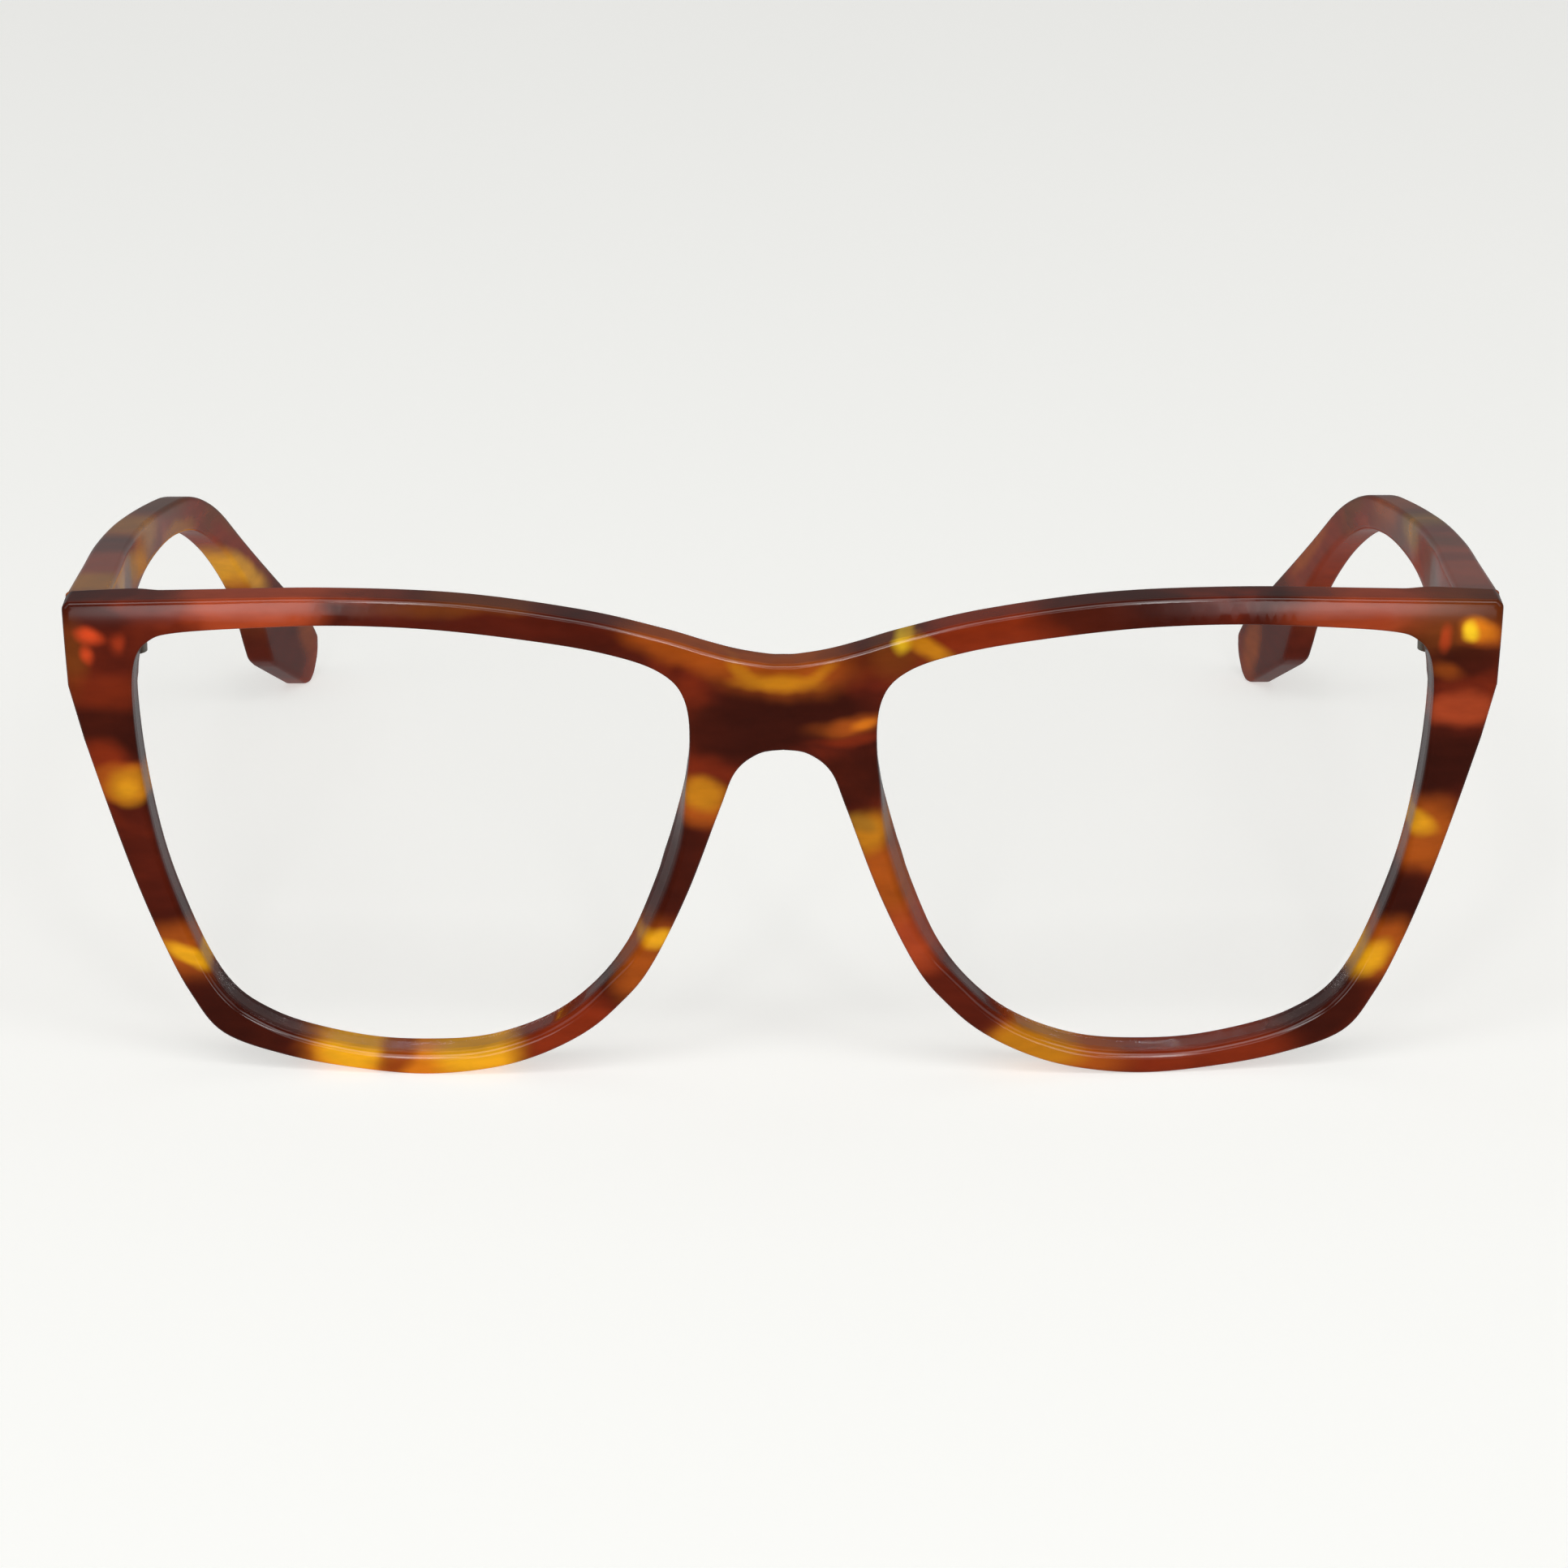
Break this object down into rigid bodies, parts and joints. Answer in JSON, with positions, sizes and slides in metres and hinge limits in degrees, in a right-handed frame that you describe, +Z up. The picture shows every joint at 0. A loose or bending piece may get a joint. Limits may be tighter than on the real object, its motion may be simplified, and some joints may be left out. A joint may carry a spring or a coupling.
{
  "type": "folding acetate glasses",
  "caption": "Full-rim acetate glasses with a squared cat-eye front, clear lenses and temples that fold on sprung hinges.",
  "frame": {"origin": "middle of the footprint, on the surface that the rims' lower edges and the temple tips stand on", "axes": "+X towards the wearer's left, +Y from the front back to the temple tips, +Z up; the two halves mirror across X = 0"},
  "size_m": [0.145, 0.1314, 0.0498],
  "materials": {
    "acetate": "polished tortoiseshell cellulose acetate, dark brown with amber patches",
    "lens": "clear uncoated plastic lens",
    "nickel_silver": "nickel silver, tumbled",
    "spring_steel": "stainless steel, drawn"
  },
  "bodies": {
    "front": {"front": "acetate", "lens_right": "lens", "lens_left": "lens", "nose_pad_right": "acetate", "nose_pad_left": "acetate", "front_hinge_right": "nickel_silver", "front_hinge_left": "nickel_silver", "hinge_screw_right": "spring_steel", "hinge_screw_left": "spring_steel"},
    "slider_right": {"hinge_slider_right": "nickel_silver", "spring_stop_right": "nickel_silver"},
    "slider_left": {"hinge_slider_left": "nickel_silver", "spring_stop_left": "nickel_silver"},
    "temple_right": {"temple_right": "acetate", "temple_core_right": "spring_steel", "spring_box_right": "nickel_silver", "hinge_spring_right": "spring_steel"},
    "temple_left": {"temple_left": "acetate", "temple_core_left": "spring_steel", "spring_box_left": "nickel_silver", "hinge_spring_left": "spring_steel"}
  },
  "joints": [
    {"name": "fold_left", "type": "hinge", "parent": "front", "child": "slider_left", "pos_m": [0.0648, -0.05485, 0.044], "axis": [0, 0, 1], "range_deg": [0, 86]},
    {"name": "fold_right", "type": "hinge", "parent": "front", "child": "slider_right", "pos_m": [-0.0648, -0.05485, 0.044], "axis": [0, 0, -1], "range_deg": [0, 80]},
    {"name": "spring_left", "type": "slide", "parent": "slider_left", "child": "temple_left", "axis": [0, 0.9854, -0.1702], "range_m": [0, 0.001], "stiffness_N_per_m": 2000, "springref_m": -0.002, "deforming": ["hinge_spring_left"]},
    {"name": "spring_right", "type": "slide", "parent": "slider_right", "child": "temple_right", "axis": [0, 0.9854, -0.1702], "range_m": [0, 0.001], "stiffness_N_per_m": 2000, "springref_m": -0.002, "deforming": ["hinge_spring_right"]}
  ]
}
